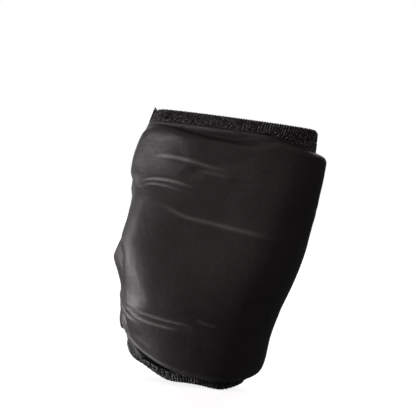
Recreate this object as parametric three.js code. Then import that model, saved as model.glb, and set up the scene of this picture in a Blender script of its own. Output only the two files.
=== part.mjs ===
// Padded palm sleeve (hand grip) for the left hand, in its worn shape. Millimetres.
// +Z runs from the wrist to the fingers, the palm faces -Y and the thumb side is -X.
// The origin is the middle of the wrist opening, 1.3 mm above the lowest point of its hem.
//
// Every layer is an offset of one inner wall, the surface that touches the hand. A point of the wall
// is given by an angle round the hand and a height: 0 degrees is the little finger side, 90 the palm,
// 180 the thumb side and 270 the back of the hand.

import * as THREE from 'three';

// ---- Driving dimensions ----
const FABRIC = 0.8; // one layer of stretch knit
const GAP = 0.3; // clearance between neighbouring solids
const PAD_THICKNESS = 5;
const PAD_CUT_EDGE = 1.2; // thickness of the foam at its cut edge
const PAD_EDGE_RADIUS = 5.5; // distance over which the foam rounds up to its full thickness
const SLEEVE_HEIGHT = 125; // finger hem above the origin
const HEM_HEIGHT = 4.6; // width of an overlocked edge
const NEEDLE_ROW = 0.5; // height of the needle thread's row
const THREAD = 0.5; // thickness of a layer of thread
const CORNER_POWER = 0.85; // below 1 squares the hand's oval section

const LITTLE_FINGER_SEAM = -25; // degrees
const THUMB_SEAM = 190;
const SEAM_CLEARANCE = 0.8; // degrees from a seam line to the edge of a panel

const THUMB_HOLE_MIDDLE = 69.5; // height of the thumb hole's middle
const THUMB_HOLE_HALF = 18.5; // half of its height
const THUMB_HOLE_FRONT = 32; // degrees that the hole is cut into the palm panels
const THUMB_HOLE_BACK = 25; // degrees that it is cut into the back panel
const THUMB_HOLE_POWER = 0.75; // 0.5 is an ellipse, more gives narrower corners

const PAD_FROM = 0.06; // pad's side edges, as shares of the palm panel's width
const PAD_TO = 0.935;
const PAD_BOTTOM = 0.03; // pad's lower and upper edges, as shares of the cover's height
const PAD_TOP = 0.985;

const PANEL_GIRTH = 125; // palm panel's width round the hand, used for distances from its edges
const PANEL_LENGTH = 112;

const PALM_COLUMNS = 24;
const PALM_ROWS = 20;
const BACK_COLUMNS = 16;
const BACK_ROWS = 20;

// Inner wall at a few heights: the thumb side and little finger side in x, the depths of palm and back
const SECTIONS = [
  { z: 0, thumb: -24.5, little: 26, palm: 16.5, back: 18.5 },
  { z: 12, thumb: -27.8, little: 29.6, palm: 18, back: 18.5 },
  { z: 25, thumb: -30.4, little: 30.8, palm: 20, back: 18 },
  { z: 38, thumb: -31.8, little: 33.8, palm: 21, back: 17 },
  { z: 51, thumb: -37.6, little: 38, palm: 21, back: 16 },
  { z: 65, thumb: -39.2, little: 41.5, palm: 19, back: 15 },
  { z: 80, thumb: -36.8, little: 43.8, palm: 16.5, back: 14.5 },
  { z: 93, thumb: -33.8, little: 45, palm: 14.5, back: 14 },
  { z: 110, thumb: -33.2, little: 46, palm: 12.5, back: 13 },
  { z: 125, thumb: -29.8, little: 46, palm: 11, back: 12 },
];

// Swellings and hollows of the wall round a middle angle, fading over a spread of degrees.
// Each shape lists heights and how far the wall stands out there.
const SWELLINGS = [
  { // cloth bridging the hollows beside the thumb, and hugging its root
    middle: 181,
    spread: 24,
    shape: [
      [0, 0], [10, 0.2], [17, 1.2], [22, 1.7], [30, 2.4], [36, 2.1], [42, 0.9], [48, 0.4], [53, 0.9],
      [58, -0.3], [65, -0.9], [75, -1.2], [80, -0.9], [84, 0], [90, 1.6], [94, 2.6], [100, 2.8],
      [108, 1.9], [112, 1.4], [118, 0.5], [125, 0],
    ],
  },
  { // ball of the thumb
    middle: 151,
    spread: 25,
    shape: [
      [0, 0], [10, 0.2], [20, 1.2], [35, 3.2], [48, 3.6], [58, 3], [70, 1.6], [82, 0.9], [95, 0.3], [110, 0],
    ],
  },
  { // hollow of the palm
    middle: 92,
    spread: 33,
    shape: [
      [0, 0], [14, -0.3], [25, -0.7], [36, -1.1], [45, -1.8], [55, -2.6], [66, -3], [80, -3],
      [94, -2.3], [106, -2], [116, -1], [125, 0],
    ],
  },
];

// Degrees the sleeve turns towards the little finger, at heights down to the wrist
const WRIST_TURN = [[0, 10], [14, 10], [36, 9], [45, 7.5], [60, 5], [80, 3], [95, 0.5], [125, 0]];

// ---- Shape of the hand's wall ----
const radians = THREE.MathUtils.degToRad;
const smooth = THREE.MathUtils.smoothstep;
const bell = (value, middle, spread) => Math.exp(-(((value - middle) / spread) ** 2));

// Value at height z on a smooth curve through [height, value] pairs
function through(pairs, z) {
  const last = pairs.length - 1;
  let i = 0;
  while (i < last - 1 && z > pairs[i + 1][0]) i += 1;
  const at = (k) => pairs[THREE.MathUtils.clamp(k, 0, last)];
  const slope = (k) => (at(k + 1)[1] - at(k - 1)[1]) / (at(k + 1)[0] - at(k - 1)[0]);
  const length = at(i + 1)[0] - at(i)[0];
  const t = THREE.MathUtils.clamp((z - at(i)[0]) / length, 0, 1);
  const t2 = t * t;
  const t3 = t2 * t;
  return (2 * t3 - 3 * t2 + 1) * at(i)[1] + (t3 - 2 * t2 + t) * length * slope(i)
    + (3 * t2 - 2 * t3) * at(i + 1)[1] + (t3 - t2) * length * slope(i + 1);
}

// One measure of the wall at height z
function measure(name, z) {
  return through(SECTIONS.map((section) => [section.z, section[name]]), z);
}

// Point of the wall at an angle and height, moved outwards by a distance and by the swellings
function wallPoint(angle, z, distance) {
  let offset = distance;
  for (const { middle, spread, shape } of SWELLINGS) {
    offset += through(shape, z) * bell(angle, middle, spread);
  }
  const thumb = measure('thumb', z);
  const little = measure('little', z);
  const cos = Math.cos(radians(angle));
  const sin = Math.sin(radians(angle));
  const halfWidth = (little - thumb) / 2;
  const depth = measure(sin > 0 ? 'palm' : 'back', z);
  const signed = (value, power) => Math.sign(value) * Math.abs(value) ** power;
  const normal = new THREE.Vector2(
    signed(cos, 2 - CORNER_POWER) / halfWidth,
    -signed(sin, 2 - CORNER_POWER) / depth,
  ).normalize();
  const point = new THREE.Vector2(
    halfWidth * signed(cos, CORNER_POWER) + offset * normal.x,
    -depth * signed(sin, CORNER_POWER) + offset * normal.y,
  );
  point.rotateAround(new THREE.Vector2(), radians(through(WRIST_TURN, z)));
  return new THREE.Vector3((thumb + little) / 2 + point.x, point.y, z);
}

// The wrist hem dips over the palm and climbs towards the thumb and the back of the hand
function wristHem(angle) {
  const turn = radians(angle);
  const dip = Math.sin(turn) > 0 ? 5.3 : 1.5;
  const uneven = 1.4 * bell(angle, 62, 20) + 1.1 * bell(angle, 112, 14) - 0.9 * bell(angle, 146, 14);
  return 5.8 - 3.8 * Math.cos(turn) - dip * Math.sin(turn) + 0.9 * Math.sin(2 * turn) - uneven;
}

// The finger hem is level over the palm and a little lower over the knuckles
function fingerHem(angle) {
  return SLEEVE_HEIGHT - 3 * smooth(-Math.sin(radians(angle)), -0.5, 1);
}

// The cover stops short of both hems, and further from the finger hem at the little finger
const COVER_CLEARANCE = HEM_HEIGHT + GAP + NEEDLE_ROW + GAP;
const coverBottom = (angle) => wristHem(angle) + COVER_CLEARANCE + 1.2 * smooth(angle, 120, 180);
const coverTop = (angle) => fingerHem(angle) - COVER_CLEARANCE - 4.9 * smooth(-angle, -80, -20);

// How far the thumb hole reaches from the thumb seam at height z, as a share of its full cut
function thumbHoleShare(z) {
  const t = (z - THUMB_HOLE_MIDDLE) / THUMB_HOLE_HALF;
  return Math.abs(t) < 1 ? (1 - t * t) ** THUMB_HOLE_POWER : 0;
}

// ---- Solids ----
// Closed solid between an outer and an inner skin, both given at whole columns and rows
function slab(columns, rows, outer, inner, closed = false) {
  const positions = [];
  const index = [];
  const across = closed ? columns : columns + 1;
  for (const skin of [outer, inner]) {
    for (let j = 0; j <= rows; j += 1) {
      for (let i = 0; i < across; i += 1) positions.push(...skin(i, j).toArray());
    }
  }
  const at = (side, i, j) => (side * (rows + 1) + j) * across + (i % across);
  const quad = (a, b, c, d) => index.push(a, b, c, a, c, d);
  for (let j = 0; j < rows; j += 1) {
    for (let i = 0; i < columns; i += 1) {
      quad(at(0, i, j), at(0, i, j + 1), at(0, i + 1, j + 1), at(0, i + 1, j));
      quad(at(1, i, j), at(1, i + 1, j), at(1, i + 1, j + 1), at(1, i, j + 1));
    }
  }
  for (let i = 0; i < columns; i += 1) {
    quad(at(0, i, 0), at(0, i + 1, 0), at(1, i + 1, 0), at(1, i, 0));
    quad(at(0, i, rows), at(1, i, rows), at(1, i + 1, rows), at(0, i + 1, rows));
  }
  for (let j = 0; j < rows && !closed; j += 1) {
    quad(at(0, 0, j), at(1, 0, j), at(1, 0, j + 1), at(0, 0, j + 1));
    quad(at(0, columns, j), at(0, columns, j + 1), at(1, columns, j + 1), at(1, columns, j));
  }
  const geometry = new THREE.BufferGeometry();
  geometry.setAttribute('position', new THREE.Float32BufferAttribute(positions, 3));
  geometry.setIndex(index);
  geometry.computeVertexNormals();
  return geometry;
}

// Share of the way across a panel at a step, closer together at both ends
function eased(step, steps) {
  const u = step / steps;
  return 0.6 * u + 0.4 * (0.5 - 0.5 * Math.cos(Math.PI * u));
}

// ---- Palm panels: lining, pad and cover share one grid ----
const palmFrom = LITTLE_FINGER_SEAM + SEAM_CLEARANCE;
const palmTo = THUMB_SEAM - SEAM_CLEARANCE;
const palmAngle = (i) => palmFrom + (palmTo - palmFrom) * eased(i, PALM_COLUMNS);

// Place of a grid point at column i and share v of the cover's height
function palmPoint(i, v, offset) {
  const flat = palmAngle(i);
  const z = coverBottom(flat) + (coverTop(flat) - coverBottom(flat)) * v;
  return palmWall(i, z, offset);
}

// The columns lean towards the palm beside the thumb hole
function palmWall(i, z, offset) {
  const u = eased(i, PALM_COLUMNS);
  return wallPoint(palmAngle(i) - THUMB_HOLE_FRONT * thumbHoleShare(z) * u, z, offset);
}

const padInner = FABRIC + GAP;

// Outer offset of the pad at a grid point: full thickness, rounded down to the cut edge
function padOuter(i, j) {
  const u = eased(i, PALM_COLUMNS);
  const v = eased(j, PALM_ROWS);
  const fromEdges = [
    (u - PAD_FROM) * PANEL_GIRTH,
    (PAD_TO - u) * PANEL_GIRTH,
    (v - PAD_BOTTOM) * PANEL_LENGTH,
    (PAD_TOP - v) * PANEL_LENGTH,
  ];
  const round = (d) => Math.sqrt(1 - (1 - THREE.MathUtils.clamp(d / PAD_EDGE_RADIUS, 0, 1)) ** 2);
  const rise = fromEdges.reduce((product, d) => product * round(d), 1);
  return padInner + PAD_CUT_EDGE + (PAD_THICKNESS - PAD_CUT_EDGE) * rise;
}

const firstStep = (share, steps) => {
  let step = 0;
  while (eased(step, steps) < share) step += 1;
  return step;
};
const padColumn = firstStep(PAD_FROM, PALM_COLUMNS);
const padLastColumn = firstStep(PAD_TO, PALM_COLUMNS) - 1;
const padRow = firstStep(PAD_BOTTOM, PALM_ROWS);
const padLastRow = firstStep(PAD_TOP, PALM_ROWS) - 1;

function palmLining() {
  const skin = (offset) => (i, j) => {
    if (j === 0) return wallPoint(palmAngle(i), wristHem(palmAngle(i)), offset);
    if (j === PALM_ROWS + 2) return wallPoint(palmAngle(i), fingerHem(palmAngle(i)), offset);
    return palmPoint(i, eased(j - 1, PALM_ROWS), offset);
  };
  return slab(PALM_COLUMNS, PALM_ROWS + 2, skin(FABRIC), skin(0));
}

function palmPad() {
  const at = (i, j, offset) => palmPoint(padColumn + i, eased(padRow + j, PALM_ROWS), offset);
  return slab(
    padLastColumn - padColumn,
    padLastRow - padRow,
    (i, j) => at(i, j, padOuter(padColumn + i, padRow + j)),
    (i, j) => at(i, j, padInner),
  );
}

function palmCover() {
  const overPad = (i, j) => i >= padColumn && i <= padLastColumn && j >= padRow && j <= padLastRow;
  const inner = (i, j) => (overPad(i, j) ? padOuter(i, j) + GAP : padInner);
  return slab(
    PALM_COLUMNS,
    PALM_ROWS,
    (i, j) => palmPoint(i, eased(j, PALM_ROWS), inner(i, j) + FABRIC),
    (i, j) => palmPoint(i, eased(j, PALM_ROWS), inner(i, j)),
  );
}

// ---- Back panel ----
const backFrom = THUMB_SEAM + SEAM_CLEARANCE;
const backTo = LITTLE_FINGER_SEAM + 360 - SEAM_CLEARANCE;
const backAngle = (i) => backFrom + ((backTo - backFrom) * i) / BACK_COLUMNS;

function backPanel() {
  const skin = (offset) => (i, j) => {
    const flat = backAngle(i);
    const z = THREE.MathUtils.lerp(wristHem(flat), fingerHem(flat), j / BACK_ROWS);
    const lean = THUMB_HOLE_BACK * thumbHoleShare(z) * (1 - i / BACK_COLUMNS);
    return wallPoint(flat + lean, z, offset);
  };
  return slab(BACK_COLUMNS, BACK_ROWS, skin(FABRIC), skin(0));
}

// ---- Threads ----
const ringAngles = [
  ...Array.from({ length: PALM_COLUMNS + 1 }, (_, i) => palmAngle(i)),
  ...Array.from({ length: BACK_COLUMNS + 1 }, (_, i) => backAngle(i)),
];

// Band of thread lying on the wall between two heights, each a function of the angle
function threadBand(angles, low, high, offset, closed) {
  const skin = (extra) => (i, j) => {
    const angle = angles[i % angles.length];
    return wallPoint(angle, j === 0 ? low(angle) : high(angle), offset + extra);
  };
  return slab(closed ? angles.length : angles.length - 1, 1, skin(THREAD), skin(0), closed);
}

const outside = FABRIC + GAP;
const inside = -GAP - THREAD;

// The three threads of an overlocked edge. Inward is +1 where the sleeve lies above the edge
function overlockedEdge(name, edge, inward) {
  const band = (from, to, offset) => {
    const near = (angle) => edge(angle) + inward * from;
    const far = (angle) => edge(angle) + inward * to;
    const [low, high] = inward > 0 ? [near, far] : [far, near];
    return threadBand(ringAngles, low, high, offset, true);
  };
  return [
    [`${name}_upper_looper`, band(0, HEM_HEIGHT, outside)],
    [`${name}_lower_looper`, band(0, HEM_HEIGHT, inside)],
    [`${name}_needle_thread`, band(HEM_HEIGHT + GAP, HEM_HEIGHT + GAP + NEEDLE_ROW, outside)],
  ];
}

// Short second row between the finger hem and the cover's edge, narrowing towards the palm
function coverEdgeOverlock() {
  const angles = ringAngles.slice(1, PALM_COLUMNS).filter((angle) => angle < 58);
  const high = (angle) => fingerHem(angle) - COVER_CLEARANCE;
  const low = (angle) => Math.min(coverTop(angle) + GAP, high(angle) - NEEDLE_ROW);
  return threadBand(angles, low, high, outside, false);
}

// Seam allowance of overlocked thread inside the sleeve, along a seam between two heights
function seamThread(seam, low, high) {
  const rows = Math.ceil((high - low) / 8);
  const halfWidth = 5;
  const skin = (offset) => (i, j) =>
    wallPoint(seam + halfWidth * (i - 1), THREE.MathUtils.lerp(low, high, j / rows), offset);
  return slab(2, rows, skin(inside + THREAD), skin(inside));
}

// Loop of stitching inside the turned edge, all round the thumb hole
const STITCH_MARGINS = [3, 1.2]; // its outer and inner distance from the edge

function thumbHoleStitch() {
  const steps = 28;
  const skin = (offset) => (i, j) => {
    const turn = (2 * Math.PI * i) / steps;
    const cut = Math.cos(turn) > 0 ? THUMB_HOLE_BACK : THUMB_HOLE_FRONT;
    const side = Math.sign(Math.cos(turn)) * Math.abs(Math.cos(turn)) ** (2 * THUMB_HOLE_POWER);
    const margin = STITCH_MARGINS[j];
    const angle = THUMB_SEAM + (cut + 2 * margin) * side;
    return wallPoint(angle, THUMB_HOLE_MIDDLE + (THUMB_HOLE_HALF + margin) * Math.sin(turn), offset);
  };
  const innermost = inside - 2 * GAP; // clear of the flats that stand for the tight curve of the rim
  return slab(steps, 1, skin(innermost + THREAD), skin(innermost), true);
}

// Small block of close stitches across the seam at a corner of the thumb hole
const BARTACK_HEIGHT = 1.6;

function bartack(z) {
  const offset = padInner + FABRIC + GAP;
  const skin = (extra) => (i, j) =>
    wallPoint(THUMB_SEAM + 5 * (i - 1), z + BARTACK_HEIGHT * j, offset + extra);
  return slab(2, 1, skin(THREAD), skin(0));
}

// ---- Assembly ----
const knit = { color: 0x1b191a, roughness: 0.62, metalness: 0 };
const foam = { color: 0x2b2b2d, roughness: 0.95, metalness: 0 };
const thread = { color: 0x211f20, roughness: 0.7, metalness: 0 };

// A seam's threads stop clear of the hems' and of the stitching round the thumb hole
const seamMargin = HEM_HEIGHT + 1.6;
const seamBottom = (seam) => wristHem(seam) + seamMargin;
const seamTop = (seam) => fingerHem(seam) - seamMargin;
const stitchReach = THUMB_HOLE_HALF + STITCH_MARGINS[0] + 2 * GAP;
const bartackReach = THUMB_HOLE_HALF + 0.6;

const pieces = [
  ['palm_cover', palmCover(), knit],
  ['palm_pad', palmPad(), foam],
  ['palm_lining', palmLining(), knit],
  ['back_panel', backPanel(), knit],
  ...overlockedEdge('finger_hem', fingerHem, -1),
  ...overlockedEdge('wrist_hem', wristHem, 1),
  ['cover_edge_overlock', coverEdgeOverlock()],
  ['little_finger_seam_thread',
    seamThread(LITTLE_FINGER_SEAM, seamBottom(LITTLE_FINGER_SEAM), seamTop(LITTLE_FINGER_SEAM))],
  ['thumb_seam_upper_thread',
    seamThread(THUMB_SEAM, THUMB_HOLE_MIDDLE + stitchReach, seamTop(THUMB_SEAM))],
  ['thumb_seam_lower_thread',
    seamThread(THUMB_SEAM, seamBottom(THUMB_SEAM), THUMB_HOLE_MIDDLE - stitchReach)],
  ['thumb_hole_stitch', thumbHoleStitch()],
  ['thumb_hole_upper_bartack', bartack(THUMB_HOLE_MIDDLE + bartackReach)],
  ['thumb_hole_lower_bartack', bartack(THUMB_HOLE_MIDDLE - bartackReach - BARTACK_HEIGHT)],
];

const sleeve = new THREE.Group();
for (const [name, geometry, look = thread] of pieces) {
  const mesh = new THREE.Mesh(geometry, new THREE.MeshStandardMaterial(look));
  mesh.name = name;
  sleeve.add(mesh);
}

export default sleeve;
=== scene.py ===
"""Padded palm sleeve (hand grip) for the left hand, made of stretch knit, foam and overlock thread."""

import math

import bpy
import numpy as np
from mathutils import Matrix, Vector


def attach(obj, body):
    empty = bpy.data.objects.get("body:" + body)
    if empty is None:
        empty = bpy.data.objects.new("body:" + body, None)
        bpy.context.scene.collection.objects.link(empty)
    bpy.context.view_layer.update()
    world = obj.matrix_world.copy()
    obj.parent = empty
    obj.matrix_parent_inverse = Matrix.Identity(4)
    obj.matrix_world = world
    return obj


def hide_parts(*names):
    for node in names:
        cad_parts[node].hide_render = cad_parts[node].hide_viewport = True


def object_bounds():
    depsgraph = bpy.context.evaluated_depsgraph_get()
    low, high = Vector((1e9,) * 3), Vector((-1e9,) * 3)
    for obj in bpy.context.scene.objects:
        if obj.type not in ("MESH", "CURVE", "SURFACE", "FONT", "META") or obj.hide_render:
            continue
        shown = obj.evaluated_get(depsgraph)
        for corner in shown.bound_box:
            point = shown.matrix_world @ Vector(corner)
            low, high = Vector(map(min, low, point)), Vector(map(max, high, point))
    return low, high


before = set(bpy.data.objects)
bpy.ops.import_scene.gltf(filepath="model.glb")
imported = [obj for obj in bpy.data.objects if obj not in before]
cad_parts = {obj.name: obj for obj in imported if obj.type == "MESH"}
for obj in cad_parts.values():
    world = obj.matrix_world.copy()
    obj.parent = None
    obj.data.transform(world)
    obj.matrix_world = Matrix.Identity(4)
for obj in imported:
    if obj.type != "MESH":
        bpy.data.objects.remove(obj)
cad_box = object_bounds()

MM = 0.001
BODY = "root"

# ---- Driving dimensions, in millimetres, the same as the frame's ----
FABRIC = 0.8
GAP = 0.3
HEM_HEIGHT = 4.6
SLEEVE_HEIGHT = 125.0
CORNER_POWER = 0.85
LITTLE_SEAM = -25.0
THUMB_SEAM = 190.0
SEAM_CLEARANCE = 0.8
HOLE_MIDDLE = 69.5
HOLE_HALF = 18.5
HOLE_FRONT = 32.0
HOLE_BACK = 25.0
HOLE_POWER = 0.75

# Heights and half sections of the wall that touches the hand
SECTION_Z = np.array([0, 12, 25, 38, 51, 65, 80, 93, 110, 125], float)
SECTIONS = {
    "thumb": [-24.5, -27.8, -30.4, -31.8, -37.6, -39.2, -36.8, -33.8, -33.2, -29.8],
    "little": [26, 29.6, 30.8, 33.8, 38, 41.5, 43.8, 45, 46, 46],
    "palm": [16.5, 18, 20, 21, 21, 19, 16.5, 14.5, 12.5, 11],
    "back": [18.5, 18.5, 18, 17, 16, 15, 14.5, 14, 13, 12],
}


# ---- The wall: angle round the hand, height, offset outwards ----
def between(t, length, starts, ends, start_slopes, end_slopes):
    """Values at share t of stretches of those lengths that run smoothly from one value to the next."""
    start = (2 * t**3 - 3 * t**2 + 1) * starts + (t**3 - 2 * t**2 + t) * length * start_slopes
    end = (3 * t**2 - 2 * t**3) * ends + (t**3 - t**2) * length * end_slopes
    return start + end


def through(places, values, at):
    """Values on a smooth curve through the given values at the given places."""
    places, values, at = (np.asarray(v, float) for v in (places, values, at))
    last = len(values) - 1
    below = np.maximum(np.arange(last + 1) - 1, 0)
    above = np.minimum(np.arange(last + 1) + 1, last)
    slopes = (values[above] - values[below]) / (places[above] - places[below])
    i = np.clip(np.searchsorted(places, at, "right") - 1, 0, last - 1)
    length = places[i + 1] - places[i]
    t = np.clip((at - places[i]) / length, 0, 1)
    return between(t, length, values[i], values[i + 1], slopes[i], slopes[i + 1])


def from_table(table, row, at):
    """Values on a smooth curve through one row of a table whose first row holds the places."""
    return through(table[0], table[row], at)


def measure(name, z):
    """One measure of the hand's section at heights z."""
    return through(SECTION_Z, SECTIONS[name], z)


def signed_power(value, power):
    return np.sign(value) * np.abs(value) ** power


# Swellings of the wall: middle angle, spread, heights and how far it stands out at them. They are the
# cloth that bridges the hollows beside the thumb, the ball of the thumb, and the hollow of the palm.
SWELLINGS = (
    (181.0, 24.0,
     (0, 10, 17, 22, 30, 36, 42, 48, 53, 58, 65,
      75, 80, 84, 90, 94, 100, 108, 112, 118, 125),
     (0, 0.2, 1.2, 1.7, 2.4, 2.1, 0.9, 0.4, 0.9, -0.3, -0.9,
      -1.2, -0.9, 0.0, 1.6, 2.6, 2.8, 1.9, 1.4, 0.5, 0)),
    (151.0, 25.0,
     (0, 10, 20, 35, 48, 58, 70, 82, 95, 110),
     (0, 0.2, 1.2, 3.2, 3.6, 3.0, 1.6, 0.9, 0.3, 0)),
    (92.0, 33.0,
     (0, 14, 25, 36, 45, 55, 66, 80, 94, 106, 116, 125),
     (0, -0.3, -0.7, -1.1, -1.8, -2.6, -3.0, -3.0, -2.3, -2.0, -1.0, 0)),
)
# How far the sleeve turns towards the little finger on its way down to the wrist: heights and degrees
TURN = ((0, 14, 36, 45, 60, 80, 95, 125), (10, 10, 9, 7.5, 5, 3, 0.5, 0))


def wall(angle, z, offset):
    """Points of the wall at angles in degrees, heights and offsets in millimetres."""
    angle, z, offset = np.broadcast_arrays(angle, z, offset)
    for middle, spread, heights, distances in SWELLINGS:
        offset = offset + through(heights, distances, z) * np.exp(-(((angle - middle) / spread) ** 2))
    thumb, little = measure("thumb", z), measure("little", z)
    cos, sin = np.cos(np.radians(angle)), np.sin(np.radians(angle))
    half = (little - thumb) / 2
    depth = np.where(sin > 0, measure("palm", z), measure("back", z))
    nx = signed_power(cos, 2 - CORNER_POWER) / half
    ny = -signed_power(sin, 2 - CORNER_POWER) / depth
    length = np.hypot(nx, ny)
    x = half * signed_power(cos, CORNER_POWER) + offset * nx / length
    y = -depth * signed_power(sin, CORNER_POWER) + offset * ny / length
    turn = np.radians(through(*TURN, z))
    turned_x = (thumb + little) / 2 + x * np.cos(turn) - y * np.sin(turn)
    turned_y = x * np.sin(turn) + y * np.cos(turn)
    return np.stack([turned_x, turned_y, z], -1)


def smooth(value, low, high):
    """A soft step from 0 at low to 1 at high."""
    t = np.clip((np.asarray(value, float) - low) / (high - low), 0, 1)
    return t * t * (3 - 2 * t)


def bell(value, middle, spread):
    """A bell curve, 1 at its middle."""
    return np.exp(-(((np.asarray(value, float) - middle) / spread) ** 2))


WRIST_HEM_HEIGHT, WRIST_HEM_TILT, WRIST_HEM_SKEW = 5.8, 3.8, 0.9
PALM_DIP, BACK_DIP = 5.3, 1.5  # how far the wrist hem dips over the palm and over the back
# Unevenness of the wrist hem: depth, middle angle and spread
WRIST_HEM_DIPS = ((1.4, 62, 20), (1.1, 112, 14), (-0.9, 146, 14))
FINGER_HEM_DROP = 3  # how much lower the finger hem is over the back


def wrist_hem(angle):
    """Height of the hem at the wrist."""
    turn = np.radians(angle)
    dip = np.where(np.sin(turn) > 0, PALM_DIP, BACK_DIP)
    uneven = sum(depth * bell(angle, middle, spread) for depth, middle, spread in WRIST_HEM_DIPS)
    level = WRIST_HEM_HEIGHT - WRIST_HEM_TILT * np.cos(turn) - dip * np.sin(turn)
    return level + WRIST_HEM_SKEW * np.sin(2 * turn) - uneven


def finger_hem(angle):
    """Height of the hem at the fingers."""
    return SLEEVE_HEIGHT - FINGER_HEM_DROP * smooth(-np.sin(np.radians(angle)), -0.5, 1)


def hole_share(z):
    """How far the thumb hole reaches from the thumb seam at heights z, as a share of its full cut."""
    t = np.clip((np.asarray(z, float) - HOLE_MIDDLE) / HOLE_HALF, -1, 1)
    return (1 - t * t) ** HOLE_POWER


# Lower edge of the cover, which is free and rolled under: angles and heights
COVER_BOTTOM = ((-25, 5, 30, 56, 75, 94, 117, 134, 148, 156, 161, 165, 169, 174, 180, 190),
                (6.6, 5.4, 3.8, 2.9, 3.1, 4.2, 7.7, 11.2, 14.4, 17.2, 20.4, 23.4, 23.2, 21.6, 20.6, 20.2))
COVER_TOP_GAP = 0.9  # from the finger hem's stitches down to the cover's upper edge
COVER_TOP_SLANT = 5.1  # how much further down that edge is at the little finger


def cover_bottom(angle):
    """Height of the cover's lower edge."""
    return through(*COVER_BOTTOM, angle)


def cover_top(angle):
    """Height of the cover's upper edge."""
    return finger_hem(angle) - HEM_HEIGHT - COVER_TOP_GAP - COVER_TOP_SLANT * (1 - smooth(angle, 18, 82))


# ---- Meshes ----
EDGE_ROUND = 0.45  # how far a sheet's rounded edge stands out, as a share of its thickness


def blur(field, rows, columns):
    """The field smoothed by a bell curve of those widths, in grid steps."""
    for axis, width in ((0, rows), (1, columns)):
        reach = int(math.ceil(3 * width))
        if reach < 1:
            continue
        weights = np.exp(-0.5 * (np.arange(-reach, reach + 1) / width) ** 2)
        weights /= weights.sum()
        padded = np.pad(field, [(reach, reach) if k == axis else (0, 0) for k in range(2)], "edge")
        places = np.arange(field.shape[axis])
        field = sum(w * np.take(padded, places + k, axis) for k, w in enumerate(weights))
    return field


def unit(vectors):
    """The vectors with length 1."""
    return vectors / np.maximum(np.linalg.norm(vectors, axis=-1, keepdims=True), 1e-12)


def grid_normals(points):
    """Outward normals of a grid of points whose columns run from the little finger to the thumb side."""
    return unit(np.cross(np.gradient(points, axis=0), np.gradient(points, axis=1)))


def arc_lengths(points, axis):
    """Distances along the grid in one direction, starting at 0."""
    steps = np.linalg.norm(np.diff(points, axis=axis), axis=-1)
    pad = [(1, 0) if k == axis else (0, 0) for k in range(2)]
    return np.cumsum(np.pad(steps, pad), axis=axis)


def placed(name, data):
    """An object with that data, in the scene."""
    thing = bpy.data.objects.new(name, data)
    bpy.context.scene.collection.objects.link(thing)
    return thing


def new_object(name, points, faces, material, attributes=()):
    """A mesh object from points in millimetres. attributes are (name, vectors) pairs for its points."""
    mesh = bpy.data.meshes.new(name)
    mesh.from_pydata((np.asarray(points) * MM).tolist(), [], faces)
    mesh.validate()
    for label, values in attributes:
        layer = mesh.attributes.new(label, "FLOAT_VECTOR", "POINT")
        layer.data.foreach_set("vector", np.asarray(values, np.float32).ravel())
    mesh.shade_smooth()
    mesh.materials.append(material)
    return placed(name, mesh)


def shares(columns, rows):
    """Shares from 0 to 1 across and up a grid."""
    return np.linspace(0, 1, columns)[None, :], np.linspace(0, 1, rows)[:, None]


def skin_faces(rows, columns):
    """Faces of the outer and the inner skin of a double grid, and the points round its border."""
    index = np.arange(rows * columns).reshape(rows, columns)
    a, b, c, d = index[:-1, :-1], index[:-1, 1:], index[1:, 1:], index[1:, :-1]
    outer = np.stack([a, d, c, b], -1).reshape(-1, 4)
    inner = np.stack([a, b, c, d], -1).reshape(-1, 4) + rows * columns
    rim = np.concatenate([index[0, :], index[1:, -1], index[-1, -2::-1], index[-2:0:-1, 0]])
    return outer, inner, rim


def cloth_object(name, middle, thickness, material, painted_light=0.0):
    """A closed sheet of cloth with rounded edges round a grid of middle points.

    The last argument gives the painted light at them, from 0 to 1: painted highlight, partly real
    abrasion, on the cover, and painted shade in the lining's channel.
    """
    rows, columns = middle.shape[:2]
    normals = grid_normals(middle)
    painted_light = np.zeros((rows, columns)) + painted_light
    cloth = np.stack([arc_lengths(middle, 1), arc_lengths(middle, 0), painted_light], -1)
    skins = [middle + normals * thickness / 2, middle - normals * thickness / 2]
    count = rows * columns
    outer, inner, rim = skin_faces(rows, columns)
    inwards = np.zeros_like(middle)
    inwards[0] += middle[1] - middle[0]
    inwards[-1] += middle[-2] - middle[-1]
    inwards[:, 0] += middle[:, 1] - middle[:, 0]
    inwards[:, -1] += middle[:, -2] - middle[:, -1]
    fold = (middle - unit(inwards) * thickness * EDGE_ROUND).reshape(-1, 3)[rim]
    edge = np.arange(len(rim)) + 2 * count
    after = np.roll(np.arange(len(rim)), -1)
    outer_side = np.stack([rim, rim[after], edge[after], edge], -1)
    inner_side = np.stack([edge, edge[after], rim[after] + count, rim + count], -1)
    points = np.concatenate([skins[0].reshape(-1, 3), skins[1].reshape(-1, 3), fold])
    flat = cloth.reshape(-1, 3)
    faces = np.concatenate([outer, inner, outer_side, inner_side]).tolist()
    return new_object(name, points, faces, material, [("cloth", np.concatenate([flat, flat, flat[rim]]))])


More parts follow.
